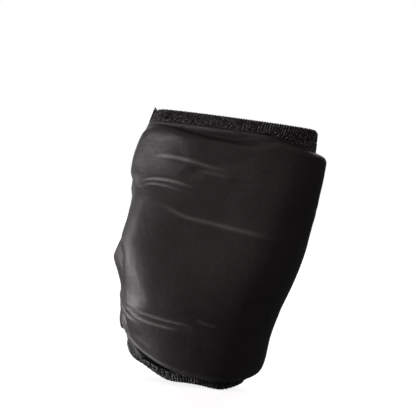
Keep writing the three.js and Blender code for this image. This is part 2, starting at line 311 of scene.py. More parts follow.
def tube_parts(path, radius, sides, closed, start):
    """Points, faces and twist coordinates of a tube of thread along a path."""
    path = np.asarray(path, float)
    count = len(path)
    if closed:
        tangents = unit(np.roll(path, -1, 0) - np.roll(path, 1, 0))
    else:
        tangents = unit(np.gradient(path, axis=0))
    side = np.cross(tangents[0], [0.3, 0.2, 1.0])
    frames = []
    for tangent in tangents:
        side = side - tangent * np.dot(side, tangent)
        side /= np.linalg.norm(side)
        frames.append(side)
    sides_a = np.array(frames)
    sides_b = np.cross(tangents, sides_a)
    turns = math.tau * np.arange(sides) / sides
    ring = radius * np.cos(turns)[None, :, None] * sides_a[:, None]
    ring = ring + radius * np.sin(turns)[None, :, None] * sides_b[:, None]
    points = (path[:, None] + ring).reshape(-1, 3)
    along = np.concatenate([[0], np.cumsum(np.linalg.norm(np.diff(path, axis=0), axis=1))])
    twist = np.zeros((count, sides, 3))
    twist[..., 0] = along[:, None]
    twist[..., 1] = turns[None]
    k = np.arange(sides)
    m = (k + 1) % sides
    here = start + sides * np.arange(count if closed else count - 1)[:, None]
    there = start + (here - start + sides) % (count * sides)
    faces = np.stack([here + k, here + m, there + m, there + k], -1).reshape(-1, 4).tolist()
    if not closed:
        faces.append(tuple(start + k for k in reversed(range(sides))))
        faces.append(tuple(start + (count - 1) * sides + k for k in range(sides)))
    return points, faces, twist.reshape(-1, 3)


def make_thread(name, node, paths, radius, sides, closed=False):
    """One piece of thread, made of tubes along its paths, that replaces a CAD node."""
    points, faces, twists = [], [], []
    for path in paths:
        start = sum(len(p) for p in points)
        part = tube_parts(path, radius, sides, closed, start)
        points.append(part[0])
        faces += part[1]
        twists.append(part[2])
    attributes = [("twist", np.concatenate(twists))]
    finish_piece(new_object(name, np.concatenate(points), faces, THREAD, attributes), "thread", node)


# ---- Materials ----
class Nodes:
    """Short calls for building one material's node tree."""

    def __init__(self, name):
        self.material = bpy.data.materials.new(name)
        self.material.use_nodes = True
        self.tree = self.material.node_tree
        self.shader = self.tree.nodes["Principled BSDF"]

    def new(self, kind):
        return self.tree.nodes.new("ShaderNode" + kind)

    def link(self, value, socket):
        if isinstance(value, bpy.types.NodeSocket):
            self.tree.links.new(value, socket)
        else:
            socket.default_value = value

    def math(self, operation, a, b=0.0, c=0.0):
        node = self.new("Math")
        node.operation = operation
        for value, socket in zip((a, b, c), node.inputs):
            self.link(value, socket)
        return node.outputs[0]

    def attribute(self, name):
        node = self.new("Attribute")
        node.attribute_name = name
        split = self.new("SeparateXYZ")
        self.tree.links.new(node.outputs["Vector"], split.inputs[0])
        return split.outputs

    def position(self):
        return self.new("TexCoord").outputs["Object"]

    def noise(self, scale, detail, roughness=0.5):
        node = self.new("TexNoise")
        self.tree.links.new(self.position(), node.inputs["Vector"])
        node.inputs["Scale"].default_value = scale
        node.inputs["Detail"].default_value = detail
        node.inputs["Roughness"].default_value = roughness
        return node.outputs["Fac"]

    def cells(self, scale):
        node = self.new("TexVoronoi")
        self.tree.links.new(self.position(), node.inputs["Vector"])
        node.inputs["Scale"].default_value = scale
        return node.outputs["Distance"]

    def ramp(self, value, low, high, to_low=0.0, to_high=1.0):
        node = self.new("MapRange")
        for socket, number in zip(("Value", "From Min", "From Max", "To Min", "To Max"),
                                  (value, low, high, to_low, to_high)):
            self.link(number, node.inputs[socket])
        return node.outputs[0]

    def blend(self, factor, low, high):
        node = self.new("Mix")
        node.data_type = "RGBA"
        self.link(factor, node.inputs["Factor"])
        self.link((*low, 1.0) if isinstance(low, tuple) else low, node.inputs["A"])
        self.link((*high, 1.0), node.inputs["B"])
        return node.outputs["Result"]

    def bump(self, height, distance, strength=1.0, under=None):
        node = self.new("Bump")
        node.inputs["Strength"].default_value = strength
        node.inputs["Distance"].default_value = distance
        self.tree.links.new(height, node.inputs["Height"])
        if under is not None:
            self.tree.links.new(under, node.inputs["Normal"])
        return node.outputs[0]

    def set(self, **values):
        """Sets or links the shader's sockets; underscores stand for spaces."""
        for name, value in values.items():
            self.link(value, self.shader.inputs[name.replace("_", " ")])
        return self.material


WALE, COURSE = 0.42, 0.5  # width of the knit's ribs and height of its rows of stitches
PLY_LENGTH = 0.55  # length of one turn of the yarn's plies
LINT = (0.16, 0.155, 0.15)
SHEEN_TINT = (0.9, 0.88, 0.9, 1.0)


def knit_material(name, dark, light, sheen, rough, depth, painted_light_colour, painted_light_roughness):
    """Warp knit: fine wales crossed by slanting stitches, uneven dye, a little lint, a satin sheen, and
    painted light in a given colour where the cloth attribute's third value says.
    """
    n = Nodes(name)
    across, along, painted_light = n.attribute("cloth")
    lean = n.math("MULTIPLY", n.math("SINE", n.math("MULTIPLY", along, math.tau / COURSE)), 0.9)
    wave = n.math("SINE", n.math("ADD", n.math("MULTIPLY", across, math.tau / WALE), lean))
    rib = n.math("ABSOLUTE", n.math("SINE", n.math("MULTIPLY", across, math.pi / WALE)))
    stitch = n.math("ADD", n.math("MULTIPLY", wave, 0.35), rib)
    fuzz = n.noise(2600, 3, 0.7)
    dye = n.ramp(n.noise(55, 4, 0.6), 0.3, 0.75)
    lint = n.math("LESS_THAN", n.cells(70), 0.014)
    colour = n.blend(dye, dark, light)
    colour = n.blend(n.math("MULTIPLY", fuzz, 0.35), colour, tuple(1.9 * c for c in light))
    colour = n.blend(n.math("MULTIPLY", lint, 0.55), colour, LINT)
    # Painted light: the colour turns to the given one where the cloth attribute's third value is high,
    # and the cloth gets rougher there.
    colour = n.blend(painted_light, colour, painted_light_colour)
    mottle = n.noise(430, 3, 0.6)
    colour = n.blend(n.ramp(mottle, 0.35, 0.7, 0.0, 0.3), colour, tuple(1.8 * c for c in light))
    puckers = n.bump(mottle, 0.26 * MM, 0.6)
    knit = n.bump(stitch, 0.05 * MM, depth, puckers)
    normal = n.bump(fuzz, 0.05 * MM, 0.5, knit)
    roughness = n.ramp(n.noise(140, 3), 0.25, 0.8, rough - 0.05, rough + 0.09)
    roughness = n.math("ADD", roughness, n.math("MULTIPLY", painted_light, painted_light_roughness))
    return n.set(
        Base_Color=colour, Roughness=roughness, Normal=normal, Specular_IOR_Level=0.5,
        Sheen_Weight=sheen, Sheen_Roughness=0.42, Sheen_Tint=SHEEN_TINT,
    )


def thread_material():
    """Textured polyester yarn: plies that wind round it, and a fluffy surface."""
    n = Nodes("overlock thread")
    along, turn, _ = n.attribute("twist")
    wound = n.math("MULTIPLY", along, math.tau / PLY_LENGTH)
    plies = n.math("SINE", n.math("ADD", wound, n.math("MULTIPLY", turn, 2)))
    fuzz = n.noise(4200, 3, 0.7)
    tufts = n.math("POWER", n.ramp(n.noise(1250, 2, 0.6), 0.42, 0.60), 1.5)
    loose = n.math("ADD", n.math("MULTIPLY", fuzz, 0.35), tufts)
    shade = n.math("ADD", n.math("MULTIPLY", plies, 0.16), loose)
    colour = n.blend(n.ramp(shade, 0.2, 1.2), (0.0015, 0.0013, 0.0013), (0.165, 0.15, 0.149))
    normal = n.bump(fuzz, 0.08 * MM, 0.6, n.bump(plies, 0.09 * MM, 0.8))
    return n.set(
        Base_Color=colour, Roughness=n.ramp(fuzz, 0.3, 0.7, 0.62, 0.8), Normal=normal,
        Specular_IOR_Level=0.25, Sheen_Weight=0.15, Sheen_Roughness=0.5, Sheen_Tint=SHEEN_TINT,
    )


def foam_material():
    """Closed-cell foam sheet with fine pores."""
    n = Nodes("pad foam")
    pores = n.ramp(n.cells(1500), 0.05, 0.45)
    colour = n.blend(pores, (0.012, 0.012, 0.013), (0.045, 0.045, 0.048))
    return n.set(
        Base_Color=colour, Roughness=n.ramp(pores, 0, 1, 0.95, 0.82),
        Normal=n.bump(pores, 0.12 * MM, 0.8), Specular_IOR_Level=0.25,
    )


# The palm knit's painted light colour is a light grey: painted highlight, partly real abrasion.
PALM_KNIT = knit_material(
    "palm knit", dark=(0.0066, 0.0042, 0.0045), light=(0.01, 0.0066, 0.007),
    sheen=0.04, rough=0.54, depth=0.5, painted_light_colour=(0.17, 0.162, 0.16), painted_light_roughness=0.0,
)
# The lining knit's painted light colour is near black and rough: painted shade in the channel beside the
# cover's open edge.
LINING_KNIT = knit_material(
    "lining knit", dark=(0.008, 0.0072, 0.0075), light=(0.012, 0.011, 0.0114),
    sheen=0.06, rough=0.66, depth=0.8, painted_light_colour=(0.0012, 0.001, 0.001), painted_light_roughness=0.34,
)
THREAD = thread_material()
FOAM = foam_material()


# ---- Camera ----
CAMERA_DISTANCE = 0.5
FRAME_WIDTH = 0.2  # what the picture spans at the part's middle
CAMERA_ROLL = 7.7
CAMERA_ASIDE, CAMERA_RAISED = -0.0047, 0.0199  # where it looks, from the middle of the part
SENSOR_WIDTH = 36


def add_camera():
    middle = np.mean(cad_box, axis=0)
    camera = placed("camera", bpy.data.cameras.new("camera"))
    camera.data.sensor_width = SENSOR_WIDTH
    camera.data.lens = SENSOR_WIDTH * CAMERA_DISTANCE / FRAME_WIDTH
    camera.data.dof.use_dof = False
    camera.location = (middle[0] + CAMERA_ASIDE, -CAMERA_DISTANCE, middle[2] + CAMERA_RAISED)
    camera.rotation_euler = (math.radians(90), -math.radians(CAMERA_ROLL), 0)
    bpy.context.scene.camera = camera


# ---- Palm panels ----
COVER_COLUMNS, COVER_ROWS = 229, 205
LINING_COLUMNS, LINING_ROWS = 150, 130
PAD_COLUMNS, PAD_ROWS = 96, 84
KNIT_THICKNESS, LINING_THICKNESS = 0.7, 0.5
INNER_OFFSET = 0.4  # middle of the layers that touch the hand, from the wall
PAD_RISE = 5.3
PAD_MIDDLE = 5.0  # offset of the pad's middle, where its outline is measured
PAD_TOP = 6.5  # offset of the cover over the pad, where places on the palm are measured


def palm_grid(columns, rows, bottom, top):
    """Angles and heights of a grid over the palm, leaning towards the palm beside the thumb hole."""
    u, v = shares(columns, rows)
    first, last = LITTLE_SEAM + SEAM_CLEARANCE, THUMB_SEAM - SEAM_CLEARANCE
    flat = first + (last - first) * u
    z = bottom(flat) + (top(flat) - bottom(flat)) * v
    return flat - HOLE_FRONT * hole_share(z) * u, z, flat + 0 * z


def curve_points(points, steps=60):
    """A smooth curve through a few points of the palm, each (x, z)."""
    points = np.array(points, float)
    knots = np.concatenate([[0], np.cumsum(np.linalg.norm(np.diff(points, axis=0), axis=1))])
    slopes = np.gradient(points, knots, axis=0) if len(points) > 2 else np.diff(points, axis=0) / knots[1]
    slopes = np.broadcast_to(slopes, points.shape)
    t = np.linspace(0, knots[-1], steps)
    i = np.clip(np.searchsorted(knots, t, "right") - 1, 0, len(knots) - 2)
    length = (knots[i + 1] - knots[i])[:, None]
    f = ((t - knots[i])[:, None]) / length
    return between(f, length, points[i], points[i + 1], slopes[i], slopes[i + 1])


FADE_IN, FADE_OUT = 0.3, 0.4  # shares of a fold's length over which it fades at its ends
LAP_STRETCH = 3.2  # how much wider a lap is below its crest
STEP_SHARE = 1.6


def stroke(x, z, points, height, width, kind="ridge"):
    """Height of a fold along a curve, fading towards both ends.

    A ridge is even, a step goes up across the curve, and a lap is a ridge that falls slowly below.
    """
    path = curve_points(points)
    share = np.linspace(0, 1, len(path))
    best = np.full(x.shape, 1e9)
    signed = np.zeros(x.shape)
    place = np.zeros(x.shape)
    for k in range(len(path) - 1):
        (ax, az), (bx, bz) = path[k], path[k + 1]
        dx, dz = bx - ax, bz - az
        f = np.clip(((x - ax) * dx + (z - az) * dz) / (dx * dx + dz * dz), 0, 1)
        ox, oz = x - ax - f * dx, z - az - f * dz
        distance = np.hypot(ox, oz)
        near = distance < best
        best = np.where(near, distance, best)
        signed = np.where(near, distance * np.sign(dx * oz - dz * ox), signed)
        place = np.where(near, share[k] + f * (share[k + 1] - share[k]), place)
    fade = smooth(place, 0, FADE_IN) * smooth(1 - place, 0, FADE_OUT)
    t = signed / width
    if kind == "lap":
        t = np.where(t < 0, t / LAP_STRETCH, t)
    shape = -STEP_SHARE * t if kind == "step" else 1
    return height * fade * shape * np.exp(-t * t)


# Folds over the palm: points (x, z) from the thumb side, height, half width, and kind if not a ridge
FOLDS = [
    ([(26, 113.2), (14, 113.6), (5, 114.1), (-5, 114.8), (-13, 115.9), (-20, 117), (-27, 118),
      (-38, 118.2)], -0.9, 0.75, "lap"),
    ([(-26, 114.6), (-18, 113.2), (-10, 112), (0, 110.8)], 0.35, 2.2),
    ([(-30, 102.4), (-22, 103.2), (-12, 102.5), (-4, 101.6), (6, 100.2)], -0.29, 1.1, "step"),
    ([(-9, 98.2), (-2, 97.9), (6, 97), (16, 95.4)], 0.3, 1.2, "lap"),
    ([(8, 96), (15, 95), (22, 95.6)], -0.2, 0.8),
    ([(-34, 90), (-28, 91.7), (-20, 91.9), (-13, 91), (-4, 89.2)], -0.28, 0.8, "step"),
    ([(-33, 88), (-27, 89.4), (-21, 89.2), (-12, 87.4)], -0.23, 0.7, "step"),
    ([(-26, 81.8), (-20, 79.9), (-10, 76.9), (0, 75.1), (15, 73.6), (30, 71.8), (42, 70.6)],
     0.46, 1.4, "lap"),
    ([(-36, 35), (-29.7, 33.1), (-26.6, 32.2), (-22.2, 30.8), (-17.5, 29.8), (-11.8, 29), (-4, 28.4),
      (1, 28.3)], 0.5, 0.6),
    ([(-33, 31.2), (-27.5, 29.9), (-21.4, 28.7), (-15, 28.2), (-8.8, 27.5), (-1, 26.4), (8, 26)],
     -0.55, 0.7),
    ([(-36, 33.2), (-29.8, 30.5), (-26.1, 28.5), (-22.7, 27.4), (-18.9, 26.7), (-12, 26.2)],
     0.42, 0.6),
    ([(-36, 31), (-30.6, 28.1), (-27.6, 26.4), (-24, 25.4)], 0.3, 0.6),
    ([(-18, 36), (-10, 34.2), (0, 33.4)], 0.15, 0.8),
    ([(1, 30.4), (7, 28.9), (15, 27.5)], 0.35, 0.8),
    ([(-38, 40), (-35.5, 36), (-33, 32.5)], 0.4, 0.9),
]
# Painted highlights, partly real abrasion, along the folds' crests: points, strength and half width
CREST_HIGHLIGHTS = [
    ([(-31, 102.2), (-22, 103.2), (-12, 102.3), (-4, 101.2), (8, 99.4)], 0.55, 0.8),
    ([(-8, 98), (0, 97.7), (10, 96.6)], 0.2, 0.8),
    ([(-34, 90.2), (-28, 91.8), (-20, 92), (-13, 91), (-6, 89.8)], 0.5, 0.65),
    ([(-33, 88.2), (-27, 89.7), (-21, 89.3), (-15, 88.2)], 0.35, 0.55),
    ([(-27, 82.4), (-20, 79.8), (-10, 76.2), (0, 75), (12, 73.6), (24, 72.2), (38, 70.6)],
     0.42, 0.85),
    ([(-34, 33.6), (-27, 31.3), (-20, 29.8), (-10, 28.3), (2, 27.4)], 0.75, 0.6),
    ([(-31, 30), (-26, 28.2), (-20, 26.6), (-12, 25.5), (-4, 24.8)], 0.7, 0.6),
    ([(-37, 35), (-32, 30), (-27, 26.2), (-22, 24.6)], 0.4, 0.5),
    ([(0, 30.8), (7, 28.9), (14, 27.6)], 0.2, 0.6),
]
EDGE_HIGHLIGHT = 0.75  # painted highlight on the cover's rolled lower edge where it stands open
BROAD_WAVE, FINE_WAVE = 0.11, 0.05  # heights of the soft waves between the folds


def facing_palm(y):
    """1 on the palm's side, where the folds and the painted highlights are, and 0 behind."""
    return smooth(-y, -2, 5)


def painted_highlights(points, from_edge, flat):
    """How much painted highlight, partly real abrasion, the cover has at its points, from 0 to 1."""
    x, y, z = np.moveaxis(points, -1, 0)
    total = sum(stroke(x, z, *line) for line in CREST_HIGHLIGHTS)
    # Painted highlight along the rolled lower edge where it stands open.
    edge = open_edge(flat) * bell(from_edge, 0.4, 0.5)
    return np.clip(facing_palm(y) * total + EDGE_HIGHLIGHT * edge, 0, 1)


def fold_heights(points):
    """How far the folds and soft waves lift the cover at its points."""
    x, y, z = np.moveaxis(points, -1, 0)
    total = np.zeros(x.shape)
    for fold in FOLDS:
        total += stroke(x, z, *fold)
    waves = BROAD_WAVE * np.sin(x / 6.1 + 0.4 * np.sin(z / 9)) * np.sin(z / 7.7 + 1.3 * np.sin(x / 17))
    waves += FINE_WAVE * np.sin(x / 2.9 + z / 5.2 + 1.7) * np.sin(z / 3.4 - x / 13)
    return facing_palm(y) * (total + waves)


# The pad's thumb edge: heights, where its top face begins, and how wide its rounded edge is
PAD_LEFT = ((12, 18, 24, 30, 36, 44, 54, 62, 72, 80, 88, 95, 104, 118),
            (-24.5, -28, -30.8, -32.2, -33, -34, -33.4, -31.2, -30, -28.6, -26.6, -24, -23, -22),
            (2.2, 2.2, 2.4, 2.5, 2.6, 3, 5, 10.5, 11, 11.5, 14, 19.5, 20, 17))
# The pad's upper end: places from the thumb side to the little finger side, heights, and edge widths
PAD_UPPER = ((-40, -28, -19, -9, 0, 9, 18, 28, 38, 60),
             (117.6, 117.5, 117, 115.9, 115.1, 115, 115.8, 118, 121, 125),
             (5.5, 5.5, 5.5, 5.2, 5, 5, 4.8, 4.2, 3.4, 3.2))
LITTLE_MARGIN, LITTLE_EDGE = 3.4, 5.6  # from the little finger's seam to the pad, and its edge's width
LOWER_EDGE = 4.6
PAD_ENDS = (14, 112)  # heights where the pad's width is measured for its lower and upper ends
CORNER_ROUND = 2.4  # power that rounds the pad's corners, higher for sharper ones


def pad_rise(angle, z, flat, from_little):
    """How far the pad lifts the cover, from 0 outside it to 1 on its flat."""
    x = wall(angle, z, PAD_TOP)[..., 0]
    left = (x - from_table(PAD_LEFT, 1, z)) / from_table(PAD_LEFT, 2, z) + 1
    left = np.where(angle < 90, 2, left)
    right = (from_little - LITTLE_MARGIN) / LITTLE_EDGE
    upper_end = np.minimum(from_table(PAD_UPPER, 1, x), cover_top(flat) - 0.1)
    upper = (upper_end - z) / from_table(PAD_UPPER, 2, x)
    lower = (z - cover_bottom(flat)) / LOWER_EDGE
    outside = sum(np.clip(1 - t, 0, 3) ** CORNER_ROUND for t in (left, right, upper, lower))
    outside = outside ** (1 / CORNER_ROUND)
    soft = 0.5 + 0.5 * smooth(-x, 18, 31) * smooth(z, 48, 60) * (1 - smooth(z, 84, 94))
    return np.maximum(1 - np.minimum(outside, 1) ** 2, 0) ** soft


# How the pad thins out towards its thumb edge: heights, depth lost there, and the distance that takes
SIDE_FALL = ((0, 20, 35, 45, 52, 60, 66, 80, 90, 98, 110),
             (6.2, 6, 4.6, 4.6, 3.2, 0.9, 0.4, 0.4, 1.2, 2.4, 3),
             (4.4, 4.4, 3.6, 3.6, 3.4, 3, 3, 3, 3, 3.5, 4))
WRIST_FALL, WRIST_FALL_FROM = 2.2, 38.0  # depth lost at the wrist, and the height where that begins


def palm_fall(angle, z):
    """How much thinner the pad is than on its flat."""
    x = wall(angle, z, PAD_TOP)[..., 0]
    inwards = x - from_table(PAD_LEFT, 1, z)
    side = from_table(SIDE_FALL, 1, z) / (1 + np.exp(inwards / from_table(SIDE_FALL, 2, z)))
    wrist = WRIST_FALL * np.clip((WRIST_FALL_FROM - z) / WRIST_FALL_FROM, 0, 1) ** 2
    return side + wrist * np.clip(np.sin(np.radians(angle)), 0, 1)


SETTLING_FRAMES = 20
SETTLING_STRIDE = 3  # grid steps between the points that the simulation moves
# How much larger than its sheet a simulated cloth is cut, as a share, and the most it may move
COVER_SETTLING, BACK_SETTLING = (0.012, 0.22), (0.02, 0.7)
EDGE_LIFT, OPEN_LIFT = 0.7, 1.1  # how far the cover's lower edge stands off, and more where it is open
SEAM_DROP, LINING_DROP, BACK_DROP = 1.7, 0.9, 0.9  # how deep each layer dips into the seams
SEAM_ROUND = 1.3  # radius of the cloth's turn into a seam
HOLE_ROUND, HOLE_DROP = 1.3, 2.6  # how much wider and deeper the cover turns in at the thumb hole
UPPER_ROUND, UPPER_DROP = 5, 2.2  # the same above the hole, where the padding runs up to the seam
ROLL_RADIUS, OPEN_ROLL = 0.7, 0.25  # of the cover's rolled edge, and more where it stands open
CHANNEL_DEPTH = 3.2  # how deep the lining falls away beside the open edge
PAD_CUT_EDGE = 0.12  # thickness of the pad at its outline
PAD_SPARE = 1.2  # what the pad's thickness is less than the cover's rise


def seam_drop(points, wider=0.0):
    """How far the cloth dips where it turns into the seams at both sides, from 0 to 1.

    wider is added to the radius of the turn at the thumb side.
    """
    across = arc_lengths(points, 1)
    t = np.minimum(across / SEAM_ROUND, (across[:, -1:] - across) / (SEAM_ROUND + wider))
    return 1 - np.sqrt(1 - (1 - np.clip(t, 0, 1)) ** 2)


def open_edge(angle):
    """Share by which the cover's lower edge stands open beside the ball of the thumb."""
    return smooth(angle, 104, 124) * (1 - smooth(angle, 160, 172))


def cover_offsets(angle, z, flat):
    """Offsets of the cover's middle from the wall."""
    rise = blur(pad_rise(angle, z, flat, arc_lengths(wall(angle, z, PAD_TOP), 1)), 0.9, 1.0)
    from_edge = z - cover_bottom(flat)
    lift = EDGE_LIFT * (1 - smooth(from_edge, 2, 9))
    lift = lift + OPEN_LIFT * open_edge(flat) * bell(from_edge, 0, 2.6)
    height = PAD_RISE - palm_fall(angle, z) - lift
    hole = smooth(hole_share(z), 0, 0.6) * smooth(flat, 110, 150)
    upper = smooth(z, 86, 95) * smooth(flat, 100, 130)
    drop = SEAM_DROP + HOLE_DROP * hole + UPPER_DROP * upper
    drop = drop * seam_drop(wall(angle, z, 4.0), HOLE_ROUND * hole + UPPER_ROUND * upper)
    return FABRIC + GAP + FABRIC / 2 + lift + height * rise - drop


def settled(middle, spare, cap):
    """Displacements along the normals that a simulation gives a sheet of cloth held along its border.

    The cloth is cut larger than the sheet by the share spare, so it buckles; cap is the most it may move.
    """
    rows, columns = middle.shape[:2]
    r = np.unique(np.linspace(0, rows - 1, rows // SETTLING_STRIDE).round().astype(int))
    c = np.unique(np.linspace(0, columns - 1, columns // SETTLING_STRIDE).round().astype(int))
    start = middle[np.ix_(r, c)]
    faces, _, rim = skin_faces(len(r), len(c))
    piece = new_object("settling cloth", start.reshape(-1, 3), faces.tolist(), PALM_KNIT)
    held = piece.vertex_groups.new(name="held")
    held.add(rim.tolist(), 1.0, "REPLACE")
    modifier = piece.modifiers.new("cloth", "CLOTH")
    cloth = modifier.settings
    cloth.quality = 6
    cloth.mass = 0.05
    cloth.tension_stiffness = cloth.compression_stiffness = 12
    cloth.shear_stiffness = 6
    cloth.bending_stiffness = 0.05
    cloth.vertex_group_mass = "held"
    cloth.shrink_min = cloth.shrink_max = -spare
    cloth.effector_weights.gravity = 0
    modifier.point_cache.frame_start, modifier.point_cache.frame_end = 1, SETTLING_FRAMES
    for step in range(1, SETTLING_FRAMES + 1):
        bpy.context.scene.frame_set(step)
    moved = piece.evaluated_get(bpy.context.evaluated_depsgraph_get()).data
    place = np.empty(len(moved.vertices) * 3)
    moved.vertices.foreach_get("co", place)
    move = ((place.reshape(start.shape) / MM - start) * grid_normals(start)).sum(-1)
    bpy.data.objects.remove(piece)
    bpy.context.scene.frame_set(1)
    move = cap * np.tanh(move / cap)
    move = np.stack([np.interp(np.arange(columns), c, row) for row in move])
    move = np.stack([np.interp(np.arange(rows), r, column) for column in move.T], 1)
    return blur(move, 0.6 * SETTLING_STRIDE, 0.6 * SETTLING_STRIDE)


def make_cover():
    angle, z, flat = palm_grid(COVER_COLUMNS, COVER_ROWS, cover_bottom, cover_top)
    offset = cover_offsets(angle, z, flat)
    middle = wall(angle, z, offset)
    # Painted highlights, partly real abrasion, for the cover's material.
    painted_light = painted_highlights(middle, z - cover_bottom(flat), flat)
    height = fold_heights(middle) + settled(middle, *COVER_SETTLING)
    middle = middle + grid_normals(middle) * height[..., None]
    roll = rolled_edge(angle[0], z[0], offset[0])
    middle = np.concatenate([roll, middle])
    painted_light = np.concatenate([np.repeat(painted_light[:1], len(roll), 0), painted_light])
    cover = cloth_object("cover_fabric", middle, KNIT_THICKNESS, PALM_KNIT, painted_light)
    finish_piece(cover, "palm_knit", "palm_cover")


def rolled_edge(angle, z, offset):
    """Rows that turn the cover's lower edge under, the innermost row first."""
    radius = ROLL_RADIUS + OPEN_ROLL * open_edge(angle)
    rows = [wall(angle, z + rise, offset - 2 * radius) for rise in (3, 2, 1)]
    for turn in np.linspace(180, 20, 7):
        cos, sin = math.cos(math.radians(turn)), math.sin(math.radians(turn))
        rows.append(wall(angle, z - radius * sin, offset - radius * (1 - cos)))
    return np.stack(rows)


def make_lining():
    angle, z, flat = palm_grid(LINING_COLUMNS, LINING_ROWS, wrist_hem, finger_hem)
    base = wall(angle, z, INNER_OFFSET)
    offset = INNER_OFFSET - LINING_DROP * seam_drop(base)
    ripple = 0.05 * np.sin(arc_lengths(base, 1) / 2.3) * np.sin(z / 4.1)
    below = (z - cover_bottom(flat)) / (1 + 0.8 * smooth(flat, 115, 145))
    channel = open_edge(flat) * bell(below, -1.7, 0.9)
    middle = wall(angle, z, offset + ripple - CHANNEL_DEPTH * channel)
    # The channel also marks painted shade: the lining knit turns near black and rough there.
    lining = cloth_object("lining_fabric", middle, LINING_THICKNESS, LINING_KNIT, channel)
    finish_piece(lining, "lining_knit", "palm_lining")


def pad_grid(columns, rows):
    """Angles and heights of a grid that fills the pad's outline."""
    u, v = shares(columns, rows)
    trial = np.linspace(LITTLE_SEAM, THUMB_SEAM, 420)[None, :]

    def edges(z):
        points = wall(trial, z, PAD_MIDDLE)
        outer = through(PAD_LEFT[0], np.subtract(PAD_LEFT[1], PAD_LEFT[2]), z)
        reached = (points[..., 0] < outer + 0.5) | (trial > THUMB_SEAM - 9 - HOLE_FRONT * hole_share(z))
        left = trial[0][np.argmax(reached & (trial > 95), axis=1)][:, None]
        right = trial[0][np.argmax(arc_lengths(points, 1) > LITTLE_MARGIN + 0.4, axis=1)][:, None]
        return right, left

    ends = [(1 - u) * right + u * left for right, left in (edges(np.array([[z]])) for z in PAD_ENDS)]
    low = cover_bottom(ends[0]) + 1.1
    high = from_table(PAD_UPPER, 1, wall(ends[1], PAD_ENDS[1], PAD_MIDDLE)[..., 0])
    high = np.minimum(high, cover_top(ends[1])) - 0.5
    z = low + (high - low) * v
    sides = [edges(column[:, None]) for column in z.T]
    right, left = (np.stack([side[k] for side in sides], 1)[..., 0] for k in (0, 1))
    return (1 - u) * right + u * left, z


def make_pad():
    """Foam sheet between lining and cover, as one closed block with rounded edges."""
    angle, z = pad_grid(PAD_COLUMNS, PAD_ROWS)
    angle = blur(angle, 1.5, 1.0)
    from_little = arc_lengths(wall(angle, z, PAD_TOP), 1) + LITTLE_MARGIN
    rise = pad_rise(angle, z, angle, from_little)
    thickness = PAD_CUT_EDGE + (PAD_RISE - PAD_SPARE - palm_fall(angle, z)) * blur(rise, 0.8, 0.8)
    outer = wall(angle, z, FABRIC + thickness)
    inner = wall(angle, z, FABRIC - 0.05)
    pad = slab_object("pad_foam", outer, inner, FOAM)
    finish_piece(pad, "foam", "palm_pad")


def slab_object(name, outer, inner, material):
    """A closed block between two grids of points."""
    rows, columns = outer.shape[:2]
    count = rows * columns
    front, behind, rim = skin_faces(rows, columns)
    after = np.roll(rim, -1)
    border = np.stack([rim, after, after + count, rim + count], -1)
    points = np.concatenate([outer.reshape(-1, 3), inner.reshape(-1, 3)])
    return new_object(name, points, np.concatenate([front, behind, border]).tolist(), material)


# ---- Back panel ----
BACK_COLUMNS, BACK_ROWS = 150, 190
BACK_HOLE_DROP = 0.7  # how much deeper the back panel turns in at the thumb hole
THUMB_TENSION, LITTLE_TENSION = 0.28, 0.16  # heights of the folds that run out from the seams
KNUCKLE_HEIGHT, KNUCKLE_Z, KNUCKLE_SPREAD, KNUCKLE_PITCH = 0.6, 112, 9, 21


def make_back():
    u, v = shares(BACK_COLUMNS, BACK_ROWS)
    first, last = THUMB_SEAM + SEAM_CLEARANCE, LITTLE_SEAM + 360 - SEAM_CLEARANCE
    flat = first + (last - first) * u + 0 * v
    z = wrist_hem(flat) + (finger_hem(flat) - wrist_hem(flat)) * v
    angle = flat + HOLE_BACK * hole_share(z) * (1 - u)
    base = wall(angle, z, INNER_OFFSET)
    across = arc_lengths(base, 1)
    from_thumb, from_little = across, across[:, -1:] - across
    turned = 1 - smooth(np.minimum(from_thumb, from_little), 0, 1.5)
    depth = BACK_DROP + BACK_HOLE_DROP * hole_share(z) * (from_thumb < from_little)
    x, height = base[..., 0], base[..., 2]
    tension = THUMB_TENSION * np.exp(-from_thumb / 16) * np.sin(height / 3.1 + across / 9)
    tension += LITTLE_TENSION * np.exp(-from_little / 14) * np.sin(height / 2.7 - across / 7)
    knuckles = KNUCKLE_HEIGHT * bell(height, KNUCKLE_Z, KNUCKLE_SPREAD)
    knuckles = knuckles * np.cos(math.tau * (x - 8) / KNUCKLE_PITCH)
    keep = smooth(height, wrist_hem(flat) + 5, wrist_hem(flat) + 14)
    keep = keep * (1 - smooth(height, finger_hem(flat) - 13, finger_hem(flat) - 5))
    offset = INNER_OFFSET - depth * turned**1.5 + keep * (tension + knuckles) * (1 - turned)
    middle = wall(angle, z, offset)
    move = settled(middle, *BACK_SETTLING) * (1 - turned)
    middle = middle + grid_normals(middle) * move[..., None]
    back = cloth_object("back_fabric", middle, KNIT_THICKNESS, PALM_KNIT)
    finish_piece(back, "back_knit", "back_panel")


# ---- Threads ----
STITCH = 2.5  # length of one overlock stitch
WRIST_HEM_REACH = 3.4  # how far the wrist hem's stitches reach in from the edge
WRIST_HEM_NARROWER = 1.5  # and how much less at the thumb side of the palm
# Offsets of the threads on the hems' outer and inner faces, and radii of the threads
LOOPER_FACES, NEEDLE_FACES = (FABRIC + 0.42, -0.36), (FABRIC + 0.38, -0.3)
LOOPER, NEEDLE, EDGE_ROW, SEAM_THREAD, HOLE_THREAD, TACK_THREAD = 0.33, 0.24, 0.34, 0.26, 0.2, 0.17
SEAM_MARGIN, HOLE_MARGIN = HEM_HEIGHT + 1.6, 3.6  # from a seam's ends to the hems and to the thumb hole


